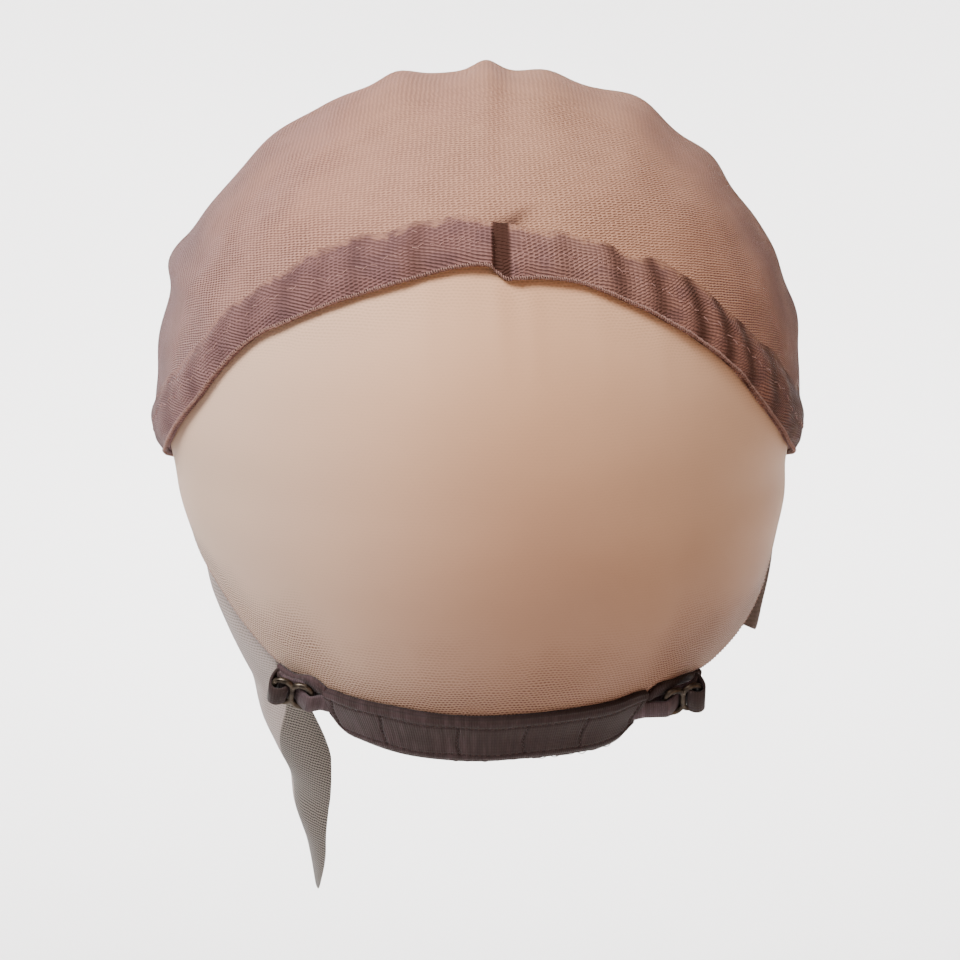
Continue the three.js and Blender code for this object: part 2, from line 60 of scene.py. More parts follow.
# The hem along the arched back edge. Angles run round the head: 0 is the middle of the back, 90 the
# wearer's right and 180 the forehead. The other columns are drops.
HEM_EDGES = {
    "angle": [-112, -100, -90, -80, -66, -54, -45, -38, -32, -26, -19, -11, -4, 1.7, 4.5, 9.5, 16, 21, 26, 31,
              38, 45, 54, 66, 80, 90, 100, 112],
    "top": [93.5, 85, 79, 75.5, 68.4, 59.6, 50.7, 44.8, 41.2, 38.1, 35.3, 33.3, 32.6, 32.6, 33.2, 34.2, 36,
            36.8, 39.2, 40.6, 45.2, 51, 59, 68, 75.5, 79, 85, 93.5],
    "bottom": [96, 94.5, 90.6, 87, 81, 71.2, 61.6, 55.4, 52.3, 49.3, 46.3, 43.4, 41.2, 41.2, 43.3, 43.2, 44.1,
               46.3, 49, 52, 56.8, 62.6, 72, 81.4, 87, 90.6, 94.5, 96],
}
FRONT_EDGE = {"angle": [100, 112, 126, 142, 160, 180], "drop": [94.5, 96, 88, 74, 62, 57]}
HEM_END = 112

# Soft folds over the crown: the angle across from the top of the head, the rise and the half width.
FOLDS = {
    "across": [-84, -73, -59.5, -35, -13, 1, 10.5, 26, 40, 57, 69],
    "height": [0.9, 0.8, 3.2, 1.4, 2, 2.6, 1.6, 2.2, 1.5, 1.3, 1.2],
    "spread": [5, 5, 3.6, 6, 3.5, 2.6, 4, 5, 4.5, 5, 4.5],
}
FOLD_CENTRE_DROP = 84
FOLD_REACH = 72

# Heights of the layers over the head form.
NET_TOP = 2.4
UNDER_CROWN = 2.8
CROWN_WALL = 0.6
CROWN_TOP = 3.8
CROWN_TUCK = 0.8
NORMAL_STEP = 0.01
MM = 0.001


def read(table, key, column, x):
    """Reads a column of a table at x by a smooth curve through its rows."""
    at = np.array(table[key], float)
    value = np.array(table[column], float)
    slope = np.empty(len(at))
    slope[1:-1] = (value[2:] - value[:-2]) / (at[2:] - at[:-2])
    slope[0] = (value[1] - value[0]) / (at[1] - at[0])
    slope[-1] = (value[-1] - value[-2]) / (at[-1] - at[-2])
    i = np.clip(np.searchsorted(at, x) - 1, 0, len(at) - 2)
    span = at[i + 1] - at[i]
    t = np.clip((x - at[i]) / span, 0, 1)
    start = (2 * t**3 - 3 * t**2 + 1) * value[i] + (t**3 - 2 * t**2 + t) * span * slope[i]
    end = (3 * t**2 - 2 * t**3) * value[i + 1] + (t**3 - t**2) * span * slope[i + 1]
    return start + end


def smoothstep(x, low, high):
    t = np.clip((x - low) / (high - low), 0, 1)
    return t * t * (3 - 2 * t)


def bell(x, middle, spread):
    return np.exp(-(((x - middle) / spread) ** 2))


def form_point(angle, root):
    """A point of the head form at an angle round it and the root of a drop."""
    turn = np.radians(angle)
    side = np.where(np.sin(turn) > 0, read(HEAD, "root", "right", root), read(HEAD, "root", "left", root))
    reach = np.where(np.cos(turn) > 0, read(HEAD, "root", "back", root), read(HEAD, "root", "front", root))
    return np.stack([side * np.sin(turn), -reach * np.cos(turn), -(root**2)], axis=-1)


def form_normal(angle, root):
    around = form_point(angle + NORMAL_STEP, root) - form_point(angle - NORMAL_STEP, root)
    down = form_point(angle, root + NORMAL_STEP) - form_point(angle, root - NORMAL_STEP)
    normal = np.cross(down, around)
    length = np.linalg.norm(normal, axis=-1, keepdims=True)
    return np.where(length > 1e-9, normal / np.maximum(length, 1e-9), [0.0, 0.0, 1.0])


def on_head(angle, drop, lift):
    """Points that stand lift above the head form, in millimetres."""
    angle, drop, lift = np.broadcast_arrays(*(np.asarray(a, float) for a in (angle, drop, lift)))
    root = np.sqrt(drop)
    return form_point(angle, root) + form_normal(angle, root) * lift[..., None]


def fold_lift(angle, drop):
    """How far the folds lift the crown."""
    p = on_head(angle, drop, 0)
    across = np.degrees(np.arctan2(p[..., 0], p[..., 2] + FOLD_CENTRE_DROP))
    fade = np.maximum(0, 1 - (p[..., 1] / FOLD_REACH) ** 2) ** 2
    lift = np.zeros_like(across)
    for place, height, spread in zip(FOLDS["across"], FOLDS["height"], FOLDS["spread"]):
        lift += height * bell(across, place, spread) * fade
    return lift


def crown_edge(angle):
    """The drop of the crown's edge: the arch at the back and the plain front edge beyond it."""
    turned = (np.asarray(angle, float) + 180) % 360 - 180
    arch = read(HEM_EDGES, "angle", "bottom", turned)
    front = read(FRONT_EDGE, "angle", "drop", np.abs(turned))
    return np.where(np.abs(turned) < HEM_END, arch, front)


def crown_lift(angle, drop, share):
    """The crown lies on the head at the top and over the panel at the back, and its edge turns in."""
    rise = UNDER_CROWN * (1 - smoothstep(share, 0.2, 0.67))
    tuck = CROWN_TUCK * smoothstep(share, 0.97, 1)
    return CROWN_TOP - rise - tuck + fold_lift(angle, drop)


def ear_mapping(points):
    """Cloth coordinates in millimetres. The courses meet at the ears, and run nearly level at the back."""
    x, y, z = points[..., 0], points[..., 1], points[..., 2] + FOLD_CENTRE_DROP
    across = np.arctan2(x, np.hypot(y, z))
    around = np.arctan2(y, z)
    level = -np.arccos(np.clip(z / (FOLD_CENTRE_DROP + 6), -1, 1))
    at_back = 0.75 * smoothstep(-y, 5, 45)
    return np.stack([across * 75, (around + (level - around) * at_back) * 86], axis=-1)


def as_mesh(name, points, faces, **layers):
    """A smooth mesh from points in millimetres, with a layer of coordinates for each name given."""
    mesh = bpy.data.meshes.new(name)
    mesh.from_pydata((np.asarray(points) * MM).tolist(), [], faces)
    mesh.polygons.foreach_set("use_smooth", [True] * len(mesh.polygons))
    corners = np.empty(len(mesh.loops), int)
    mesh.loops.foreach_get("vertex_index", corners)
    for title, values in layers.items():
        layer = mesh.uv_layers.new(name=title)
        layer.data.foreach_set("uv", np.asarray(values, float)[corners].ravel())
    mesh.validate()
    piece = bpy.data.objects.new(name, mesh)
    bpy.context.scene.collection.objects.link(piece)
    return piece


def no_shade(angle, share):
    return np.zeros_like(share)


def cloth(name, angles, shares, top, bottom, lift, wall, mapping, shade=no_shade, closed=False):
    """A wall of cloth over a grid of angles by shares of the way down. Its Edge layer holds how deep in a
    fold or seam each point lies, which the materials paint as shade, and its share of the way down."""
    angle, share = np.meshgrid(angles, shares, indexing="ij")
    drop = top(angle) + (bottom(angle) - top(angle)) * share
    outside = lift(angle, drop, share)
    outer = on_head(angle, drop, outside)
    inner = on_head(angle, drop, outside - wall(share))
    across, down = angle.shape
    face_out, face_in = np.arange(2 * across * down).reshape(2, across, down)
    if closed:
        face_out = np.vstack([face_out, face_out[:1]])
        face_in = np.vstack([face_in, face_in[:1]])

    def quads(a, b, c, d):
        return np.stack([a, b, c, d], axis=-1).reshape(-1, 4)

    o, n = face_out[:-1], face_out[1:]
    p, m = face_in[:-1], face_in[1:]
    faces = [
        quads(o[:, :-1], o[:, 1:], n[:, 1:], n[:, :-1]),
        quads(m[:, :-1], m[:, 1:], p[:, 1:], p[:, :-1]),
        quads(n[:, -1], o[:, -1], p[:, -1], m[:, -1]),
    ]
    if not closed:
        faces.append(quads(o[:, 0], n[:, 0], m[:, 0], p[:, 0]))
        faces.append(quads(face_out[0, 1:], face_out[0, :-1], face_in[0, :-1], face_in[0, 1:]))
        faces.append(quads(face_out[-1, :-1], face_out[-1, 1:], face_in[-1, 1:], face_in[-1, :-1]))
    points = np.concatenate([outer.reshape(-1, 3), inner.reshape(-1, 3)])
    edge = np.stack([shade(angle, share), share], axis=-1).reshape(-1, 2)
    layers = {"Cloth": mapping(points), "Edge": np.tile(edge, (2, 1))}
    piece = as_mesh(name, points, np.concatenate(faces).tolist(), **layers)
    if closed:
        weld = piece.modifiers.new("Weld", "WELD")
        weld.merge_threshold = 1e-6
    return piece


def colour(hex_value):
    """An sRGB hex colour as linear RGBA."""
    parts = [int(hex_value[i : i + 2], 16) / 255 for i in (1, 3, 5)]
    return (*(p / 12.92 if p <= 0.04045 else ((p + 0.055) / 1.055) ** 2.4 for p in parts), 1)


def surface(name, roughness, sheen=0.0, specular=0.5):
    """A new material with the values that are the same all over, given with its tree and shader."""
    material = bpy.data.materials.new(name)
    material.use_nodes = True
    shader = material.node_tree.nodes["Principled BSDF"]
    shader.inputs["Roughness"].default_value = roughness
    shader.inputs["Sheen Weight"].default_value = sheen
    shader.inputs["Specular IOR Level"].default_value = specular
    return material, material.node_tree, shader


def add(tree, kind, inputs=(), **settings):
    """Adds a node with its settings, and fills its inputs with values or links."""
    made = tree.nodes.new(kind)
    for name, value in settings.items():
        setattr(made, name, value)
    for key, value in dict(inputs).items():
        if isinstance(value, bpy.types.NodeSocket):
            tree.links.new(value, made.inputs[key])
        else:
            made.inputs[key].default_value = value
    return made


def ramp(tree, value, stops):
    """The colour at a value between stops, each a place and a hex colour."""
    made = add(tree, "ShaderNodeValToRGB", {"Fac": value})
    elements = made.color_ramp.elements
    while len(elements) < len(stops):
        elements.new(1)
    for element, (place, hex_value) in zip(elements, stops):
        element.position = place
        element.color = colour(hex_value)
    return made.outputs["Color"]


def blend(tree, share, first, second):
    """Mixes two colours by a share."""
    mixed = add(tree, "ShaderNodeMix", {"Factor": share, "A": first, "B": second}, data_type="RGBA")
    return mixed.outputs["Result"]


def fit(tree, value, low, high, to_low=0.0, to_high=1.0):
    """Maps a value softly from one range to another."""
    made = add(
        tree, "ShaderNodeMapRange",
        {"Value": value, "From Min": low, "From Max": high, "To Min": to_low, "To Max": to_high},
        interpolation_type="SMOOTHSTEP",
    )
    return made.outputs["Result"]


def arithmetic(tree, operation, *values):
    made = add(tree, "ShaderNodeMath", dict(enumerate(values)), operation=operation)
    return made.outputs[0]


def noise(tree, place, scale, detail=2):
    made = add(tree, "ShaderNodeTexNoise", {"Vector": place, "Scale": scale, "Detail": detail})
    return made.outputs["Fac"]


def drifting(tree, place, scale, reach):
    """Shifts a place by up to about half the reach, in slow irregular waves, as threads wander."""
    waves = add(tree, "ShaderNodeTexNoise", {"Vector": place, "Scale": scale, "Detail": 2})
    centred = add(
        tree, "ShaderNodeVectorMath", {0: waves.outputs["Color"], 1: (0.5, 0.5, 0.5)}, operation="SUBTRACT"
    )
    moved = add(
        tree, "ShaderNodeVectorMath", {0: centred.outputs[0], 1: (reach, reach, 0), 2: place},
        operation="MULTIPLY_ADD",
    )
    return moved.outputs[0]


def crossed_waves(tree, place, waves):
    """The sum of crossing waves, low on threads and high in gaps. Each wave is given by its turns per
    millimetre along the cloth and up it, and its strength."""
    total = 0
    for along, up, strength in waves:
        direction = (2 * math.pi * along, 2 * math.pi * up, 0)
        phase = add(tree, "ShaderNodeVectorMath", {0: place, 1: direction}, operation="DOT_PRODUCT")
        wave = arithmetic(tree, "COSINE", phase.outputs["Value"])
        total = arithmetic(tree, "MULTIPLY_ADD", wave, strength, total)
    return total


def net_holes(tree, place, across, row):
    """A net of hexagonal holes in clear rows: 0 on its threads and 1 in the middle of a hole. Holes stand
    across millimetres apart along a row, and rows stand row millimetres apart."""
    waves = [(0, 1 / row, 1.5), (1 / across, 0.5 / row, 0.6), (-1 / across, 0.5 / row, 0.6)]
    return fit(tree, crossed_waves(tree, place, waves), -0.7, 1.6)


def sunk(tree, shader, height, strength, depth):
    """Sinks the surface where the height is 1, by a depth in metres."""
    bump = add(
        tree, "ShaderNodeBump", {"Height": height, "Strength": strength, "Distance": depth}, invert=True,
    )
    tree.links.new(bump.outputs["Normal"], shader.inputs["Normal"])


def laid(tree, layer, part=""):
    """A place in one of the mesh's coordinate layers, or its X or Y part alone."""
    place = add(tree, "ShaderNodeUVMap", uv_map=layer).outputs[0]
    return add(tree, "ShaderNodeSeparateXYZ", {0: place}).outputs[part] if part else place


def on_piece(tree):
    """The place on the piece itself, in metres."""
    return add(tree, "ShaderNodeTexCoord").outputs["Object"]


# How far each ear lies from the middle line along the mesh.
EAR_REACH = 118


def tone_and_shade_across(tree, stops):
    """A tone that changes from ear to ear and in slow patches: partly the unevenly stretched mesh's own tone,
    partly painted shade that darkens towards the wearer's right, away from the light.
    """
    patches = fit(tree, noise(tree, on_piece(tree), 50, 3), 0.3, 0.7, -0.03, 0.03)
    ends = {"From Min": -EAR_REACH, "From Max": EAR_REACH}
    across = add(tree, "ShaderNodeMapRange", {"Value": laid(tree, "Cloth", "X"), **ends})
    return ramp(tree, arithmetic(tree, "ADD", across.outputs[0], patches), stops)


def sewn_on(piece, material):
    """Gives a piece its material and body."""
    piece.data.materials.append(material)
    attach(piece, "root")


# The gathered hem draws a short crease into the crown above its pleat. The crease is not shaped; it is
# painted shade in the crown's colour.
CREASE = {"share": 0.81, "reach": 0.14, "angle": 3.6, "lean": 6, "spread": 1.5}


def crease_shade(angle, share):
    rise = (CREASE["share"] - share) / CREASE["reach"]
    turned = (angle + 180) % 360 - 180
    line = bell(turned, CREASE["angle"] + CREASE["lean"] * rise, CREASE["spread"] * (1 + 0.6 * rise))
    return line * (1 - smoothstep(rise, 0.1, 1))


# Courses 0.59 mm apart cross wales 0.86 mm apart, and the yarn's slant adds a finer diagonal.
COURSE = 1 / 0.59
WALE = 1 / 0.86
YARN_SLANT = (1.0, -1.35)

# Knitted nylon is matt with a faint sheen where it turns away. Its courses show as fine lines, dark in
# the gaps, and fade where the mesh is stretched least.
stretch_mesh, tree, shader = surface("Stretch mesh, knitted nylon", 0.75, 0.12, 0.25)
shader.inputs["Sheen Tint"].default_value = colour("#c9b0c4")
wandering = drifting(tree, laid(tree, "Cloth"), 0.3, 0.7)
to_right = laid(tree, "Cloth", "X")
off_middle = arithmetic(tree, "ABSOLUTE", to_right)
wale_strength = fit(tree, to_right, -60, 40, 0.75, 0.25)
slant_strength = fit(tree, off_middle, 12, 70, 0.7, 0.2)
waves = [(0, COURSE, 1), (WALE, 0, wale_strength), (*YARN_SLANT, slant_strength)]
crown_holes = fit(tree, crossed_waves(tree, wandering, waves), -1.2, 1.8)
# Mauve at the left ear and peach in the middle, then painted shade: dark brown towards the right ear, away
# from the light.
crown_tone = tone_and_shade_across(tree, [(0, "#a5898c"), (0.2, "#b4908b"), (0.38, "#c7937f"), (0.55, "#cf9c80"),
                         (0.75, "#c5937a"), (0.87, "#8b5f50"), (1, "#8d6252")])
patchy = fit(tree, noise(tree, on_piece(tree), 90), 0.3, 0.7, 0.6, 1)
open_share = arithmetic(tree, "MULTIPLY", patchy, fit(tree, off_middle, 12, 60, 0.65, 1))
crown_depth = arithmetic(tree, "MULTIPLY", crown_holes, open_share)
knitted = blend(tree, crown_depth, crown_tone, colour("#4c2d25"))
# Painted shade along the crease above the pleat.
crease_shaded = blend(tree, laid(tree, "Edge", "X"), knitted, colour("#3a1d16"))
tree.links.new(crease_shaded, shader.inputs["Base Color"])
sunk(tree, shader, crown_holes, 0.9, 0.0003)

crown = cloth(
    "crown_cloth",
    angles=np.linspace(-180, 180, 361)[:-1],
    shares=np.linspace(0, 1, 110) ** 1.5,
    top=lambda angle: angle * 0,
    bottom=crown_edge,
    lift=crown_lift,
    wall=lambda share: CROWN_WALL,
    mapping=ear_mapping,
    shade=crease_shade,
    closed=True,
)
sewn_on(crown, stretch_mesh)
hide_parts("crown")


# The hem
# The crown's back edge is folded double, so its two nets cross and darken each other. It gathers in puckers
# with one pleat near the middle, and is sewn with pale thread and finely overcast. Painted shade darkens the
# pleat and the puckers' valleys.

PLEAT = {"start": -5, "crest": 1.7, "brink": 1.8, "floor": 2.4, "far": 4.7, "level": 5.5, "end": 9.7}
PLEAT_HEIGHT = {"ridge": 1.0, "valley": 0.4, "far": 0.3}
PUCKERS = {
    "angle": [-76, -66, -56, -48, -42.6, -35.6, -29, -23.4, -13.1, 12, 20.8, 27.6, 35.1, 41, 46.1, 53, 61,
              70],
    "height": [0.3, 0.3, 0.3, 0.25, 0.3, 0.32, 0.2, 0.3, 0.3, 0.2, 0.45, 0.5, 0.6, 0.6, 0.6, 0.5, 0.4, 0.4],
    "spread": [2, 2, 1.8, 1.6, 1.6, 1.6, 1.4, 1.6, 1.6, 1.4, 1.6, 1.6, 1.6, 1.5, 1.5, 1.8, 2, 2],
}
PUCKER_SLANT = 0.4
PUCKER_RISE = 0.6
HEM_START = 3.86
HEM_RISE = 1.2
HEM_ROLL = 0.8
HEM_LAP = 0.6


def pleat_shape(angle):
    """The pleat swells to its brink, drops to a narrow floor and rises to the far side."""
    swell = smoothstep(angle, PLEAT["start"], PLEAT["crest"])
    down = smoothstep(angle, PLEAT["brink"], PLEAT["floor"])
    up = smoothstep(angle, PLEAT["far"], PLEAT["level"])
    away = smoothstep(angle, PLEAT["level"], PLEAT["end"])
    return swell * (1 - down), down * (1 - up), up * (1 - away)


def pucker_shape(angle, share):
    """The ridges of the puckers and the valleys on their right."""
    ridges, valleys = np.zeros_like(angle), np.zeros_like(angle)
    for place, height, spread in zip(PUCKERS["angle"], PUCKERS["height"], PUCKERS["spread"]):
        off = (angle - place - PUCKER_SLANT * (share - 0.5)) / spread
        ridges += height * bell(off, 0, 1)
        valleys += height * bell(off, 1.6, 1)
    return ridges, valleys


def hem_lift(angle, drop, share):
    body = smoothstep(share, 0, 0.4)
    ridge, valley, far = pleat_shape(angle)
    pleat = PLEAT_HEIGHT["ridge"] * ridge - PLEAT_HEIGHT["valley"] * valley + PLEAT_HEIGHT["far"] * far
    ridges, valleys = pucker_shape(angle, share)
    gathers = PUCKER_RISE * (ridges - 0.3 * valleys) * (1 - 0.5 * smoothstep(share, 0.7, 1))
    roll = HEM_ROLL * smoothstep(share, 0.75, 1)
    return HEM_START + fold_lift(angle, drop) + body * (HEM_RISE + pleat + gathers) - roll


def hem_shade(angle, share):
    """Painted shade: darkest in the pleat and dark in the puckers' valleys."""
    return np.clip(pleat_shape(angle)[1] + 1.5 * pucker_shape(angle, share)[1], 0, 1)


def hem_top(angle):
    ragged = 0.45 * np.sin(np.radians(angle * 17)) + 0.3 * np.sin(np.radians(angle * 41 + 40))
    return read(HEM_EDGES, "angle", "top", angle) + ragged


def hem_bottom(angle):
    return read(HEM_EDGES, "angle", "bottom", angle) + HEM_LAP


# The two layers show as slanting lines, a little steeper than the crown's courses, and as others that
# cross them and come and go from place to place. The last are the wales.
HEM_LINES = {"heading": [77, 124, 2], "pitch": [0.71, 0.64, 0.86]}

doubled_mesh, tree, shader = surface("Doubled stretch mesh", 0.75, 0.08, 0.2)
shader.inputs["Sheen Tint"].default_value = colour("#c9a08c")
cloth_place = laid(tree, "Cloth")
in_fold = laid(tree, "Edge", "X")
wandering = drifting(tree, cloth_place, 0.2, 1)
which = noise(tree, cloth_place, 0.14)
strengths = [fit(tree, which, 0.4, 0.6, 1.2, 0.6), fit(tree, which, 0.4, 0.6, 0.1, 0.9), 0.35]
lines = []
for heading, pitch, strength in zip(*HEM_LINES.values(), strengths):
    toward = math.radians(heading)
    lines.append((math.cos(toward) / pitch, math.sin(toward) / pitch, strength))
hem_depth = fit(tree, crossed_waves(tree, wandering, lines), -1, 1.4)
# Painted shade darkens the hem towards the right ear.
hem_tone = tone_and_shade_across(tree, [(0, "#a1868a"), (0.22, "#9e7977"), (0.36, "#8b6563"), (0.46, "#8f6763"),
                       (0.57, "#a2796f"), (0.72, "#a07265"), (0.85, "#6b483f"), (1, "#5c3f36")])
smudges = fit(tree, noise(tree, cloth_place, 0.16), 0.48, 0.64, 0, 0.4)
smudged = blend(tree, smudges, hem_tone, colour("#6d5054"))
sewn = blend(tree, arithmetic(tree, "MULTIPLY", hem_depth, 0.62), smudged, colour("#2c1612"))
# Painted shade for the pleat and the puckers' valleys.
valley_shade_tone = tone_and_shade_across(tree, [(0, "#63494c"), (0.35, "#5a4040"), (0.48, "#45281f"), (1, "#45281f")])
with_painted_shade = blend(tree, in_fold, sewn, valley_shade_tone)

# The ragged upper edge is a single layer, nearly as light as the crown.
ragged = arithmetic(tree, "MULTIPLY_ADD", noise(tree, cloth_place, 0.5), 0.4, laid(tree, "Edge", "Y"))
lit = arithmetic(tree, "SUBTRACT", 1, in_fold)
single = arithmetic(tree, "MULTIPLY", fit(tree, ragged, 0.22, 0.36, 0.8, 0), lit)
# Painted shade darkens the single layer towards the right ear.
outer_tone = tone_and_shade_across(tree, [(0, "#9a7f82"), (0.38, "#b28270"), (0.6, "#b98a72"), (0.87, "#6a473c")])
tree.links.new(blend(tree, single, with_painted_shade, outer_tone), shader.inputs["Base Color"])
sunk(tree, shader, hem_depth, 0.9, 0.0003)

hem = cloth(
    "hem_cloth",
    angles=np.linspace(-HEM_END, HEM_END, 900),
    shares=np.linspace(0, 1, 26),
    top=hem_top,
    bottom=hem_bottom,
    lift=hem_lift,
    wall=lambda share: 0.25 + 0.9 * smoothstep(share, 0, 0.4),
    mapping=ear_mapping,
    shade=hem_shade,
)
sewn_on(hem, doubled_mesh)
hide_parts("crown_hem")


def threads(name, paths, radius, sides=5):
    """Fine threads along paths of points in millimetres, joined into one mesh."""
    ring = np.radians(np.arange(sides) * 360 / sides)
    points, faces, start = [], [], 0
    for path in paths:
        path = np.asarray(path, float)
        along = np.gradient(path, axis=0)
        along /= np.linalg.norm(along, axis=1, keepdims=True)
        guide = np.where(np.abs(along[:, 2:]) < 0.9, [0.0, 0.0, 1.0], [1.0, 0.0, 0.0])
        side = np.cross(along, guide)
        side /= np.linalg.norm(side, axis=1, keepdims=True)
        up = np.cross(side, along)
        rings = (
            path[:, None]
            + radius * np.cos(ring)[None, :, None] * side[:, None]
            + radius * np.sin(ring)[None, :, None] * up[:, None]
        )
        points.append(rings.reshape(-1, 3))
        for i in range(len(path) - 1):
            for k in range(sides):
                n = (k + 1) % sides
                a, b = start + i * sides, start + (i + 1) * sides
                faces.append((a + k, a + n, b + n, b + k))
        faces.append(tuple(start + k for k in reversed(range(sides))))
        faces.append(tuple(start + (len(path) - 1) * sides + k for k in range(sides)))
        start += len(path) * sides
    return as_mesh(name, np.concatenate(points), faces)


def spun(name, base, dark):
    """Spun sewing thread: matt, with a slow change of tone."""
    material, tree, shader = surface(name, 0.7, 0.2, 0.3)
    tone = blend(tree, noise(tree, on_piece(tree), 900), colour(base), colour(dark))
    tree.links.new(tone, shader.inputs["Base Color"])
    return material


rose_thread = spun("Rose sewing thread, spun polyester", "#b98f88", "#92665f")


def hem_place(angle, share, above):
    """A point above the hem's outer face at a share of the way down it."""
    drop = hem_top(angle) + (hem_bottom(angle) - hem_top(angle)) * share
    return on_head(angle, drop, hem_lift(angle, drop, share) + above)


# Two rows of hand-guided stitches: one wanders along the middle, and one comes and goes at the top.
STITCH_ROWS = {
    "share": [0.55, 0.2],
    "wander": [0.06, 0.05],
    "step": [1.55, 2.3],
    "length": [1.2, 1],
    "to": [104, 14],
}
stitches = []
for share, wander, step, length, last in zip(*STITCH_ROWS.values()):
    for i, start in enumerate(np.arange(-106, last, step)):
        start += 0.3 * math.sin(i * 2.3)
        if PLEAT["brink"] - length < start < PLEAT["level"]:
            continue
        middle = share + wander * math.sin(start * 0.21) + 0.03 * math.sin(i * 1.7)
        run = np.linspace(-1, 1, 6)
        angle = start + length * (1 + 0.25 * math.sin(i * 3.1)) * (run + 1) / 2
        lean = 0.03 * (1 if i % 2 else -1) * run
        stitches.append(hem_place(angle, middle + lean, 0.08 - 0.3 * run**4))
running_stitch = threads("hem_running_stitch", stitches, 0.09)
sewn_on(running_stitch, rose_thread)

# The overcast thread winds round the rolled lower edge in turns about 0.5 mm apart.
OVERCAST = {"turns": 2.6, "radius": 0.27, "thread": 0.16}
hem_angles = np.arange(-111, 111, 0.05)
turns = 2 * np.pi * OVERCAST["turns"] * hem_angles
edge_drop = hem_bottom(hem_angles)
edge_lift = hem_lift(hem_angles, edge_drop, np.ones(len(hem_angles))) - 0.12
overcast = on_head(
    hem_angles,
    edge_drop + OVERCAST["radius"] * np.sin(turns) + 0.08 * np.sin(hem_angles * 5.3),
    edge_lift + OVERCAST["radius"] * np.cos(turns),
)
edge_thread = threads("hem_overcast", [overcast], OVERCAST["thread"], sides=4)
brown_thread = spun("Brown rose sewing thread, spun polyester", "#ab857b", "#7d574e")
sewn_on(edge_thread, brown_thread)


# The back panel
# Fine nude net of monofilament, sewn under the hem and drawn in to the nape band. It is doubled above
# the band, where its rows of holes show, and the pull of the band and the pleat leaves faint ridges.

PANEL_BOTTOM = {
    "angle": [-99, -93, -82, -72, -63, -56, -50.5, -47, -44, -40, -37, -34, -31, -27, -18, 0, 18, 28, 33,
              36, 38, 41, 46, 50, 55, 59, 66, 72, 80, 86, 93, 99],
    "drop": [96, 99.5, 106, 111, 116.2, 122, 126.5, 129, 130.6, 131.4, 132, 134, 138.5, 143.2, 145, 146,
             145.6, 145.2, 142, 137, 134, 132.6, 132.2, 132.4, 131.6, 129.8, 126.2, 122, 115.5, 109.5,
             101, 96],
}
PANEL_TUCK = 7
PANEL_TOP_MOST = 89
PANEL_WALL = 0.5
PULLS = {"angle": [-31, -20, -9, 2.5, 8, 19, 30], "height": [0.1, 0.12, 0.25, 0.3, 0.25, 0.12, 0.1]}


def panel_bottom(angle):
    return read(PANEL_BOTTOM, "angle", "drop", angle)


def panel_lift(angle, drop, share):
    ridges = sum(h * bell(angle, a + 3 * share, 1.8) for a, h in zip(PULLS["angle"], PULLS["height"]))
    return NET_TOP + ridges * (1 - smoothstep(share, 0.05, 0.35))


def round_mapping(points):
    """Cloth coordinates in millimetres round the back of the head and down it."""
    around = np.arctan2(points[..., 0], -points[..., 1])
    return np.stack([around * 78, points[..., 2]], axis=-1)


# Monofilament net has a soft gloss. Over most of the head it lies flat and nearly vanishes; its rows darken
# where it stands off the head above the band, and faintly under the hem, where the dark is painted shade.
PANEL_NET = {"across": 0.9, "row": 0.62}

nude_net, tree, shader = surface("Nude monofilament net", 0.6, 0.06, 0.2)
shader.inputs["Sheen Tint"].default_value = colour("#ecd2c0")
cloth_place = laid(tree, "Cloth")
to_right = laid(tree, "Cloth", "X")
down = laid(tree, "Edge", "Y")
wandering = drifting(tree, drifting(tree, cloth_place, 0.05, 3), 0.3, 0.9)
panel_holes = net_holes(tree, wandering, **PANEL_NET)
lower = arithmetic(tree, "MULTIPLY_ADD", noise(tree, cloth_place, 0.06), 0.16, down)
near_band = fit(tree, lower, 0.78, 1, 0.03, 1)
# Painted shade in the net's holes just under the hem.
shade_under_hem = fit(tree, down, 0.08, 0.18, 0.16, 0)
panel_depth = arithmetic(tree, "MULTIPLY", panel_holes, arithmetic(tree, "ADD", near_band, shade_under_hem))
# The tone darkens towards the band, partly because the net is doubled there and partly as painted shade.
patches = arithmetic(tree, "MULTIPLY_ADD", noise(tree, cloth_place, 0.02), 0.3, down)
middle_tone = ramp(tree, patches, [(0.2, "#e1b08b"), (0.5, "#c79a7a"), (0.75, "#b68c71"), (1, "#b08c78")])
# Painted light: the left side and the upper right side are lightened.
tone_with_painted_light_left = blend(tree, fit(tree, to_right, -70, 10, 0.7, 0), middle_tone, colour("#ecceb9"))
painted_lighting_at_right = arithmetic(tree, "MULTIPLY", fit(tree, to_right, 5, 80, 0, 0.8), fit(tree, down, 0.35, 0.9, 1, 0))
panel_tone = blend(tree, painted_lighting_at_right, tone_with_painted_light_left, colour("#e8c6aa"))
tree.links.new(blend(tree, panel_depth, panel_tone, colour("#6b4b3b")), shader.inputs["Base Color"])
sunk(tree, shader, panel_depth, 0.8, 0.0002)

panel = cloth(
    "panel_net",
    angles=np.linspace(-99, 99, 300),
    shares=np.linspace(0, 1, 90),
    top=lambda angle: np.minimum(crown_edge(angle) - PANEL_TUCK, PANEL_TOP_MOST),
    bottom=panel_bottom,
    lift=panel_lift,
    wall=lambda share: PANEL_WALL,
    mapping=round_mapping,
)
sewn_on(panel, nude_net)
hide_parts("back_panel")

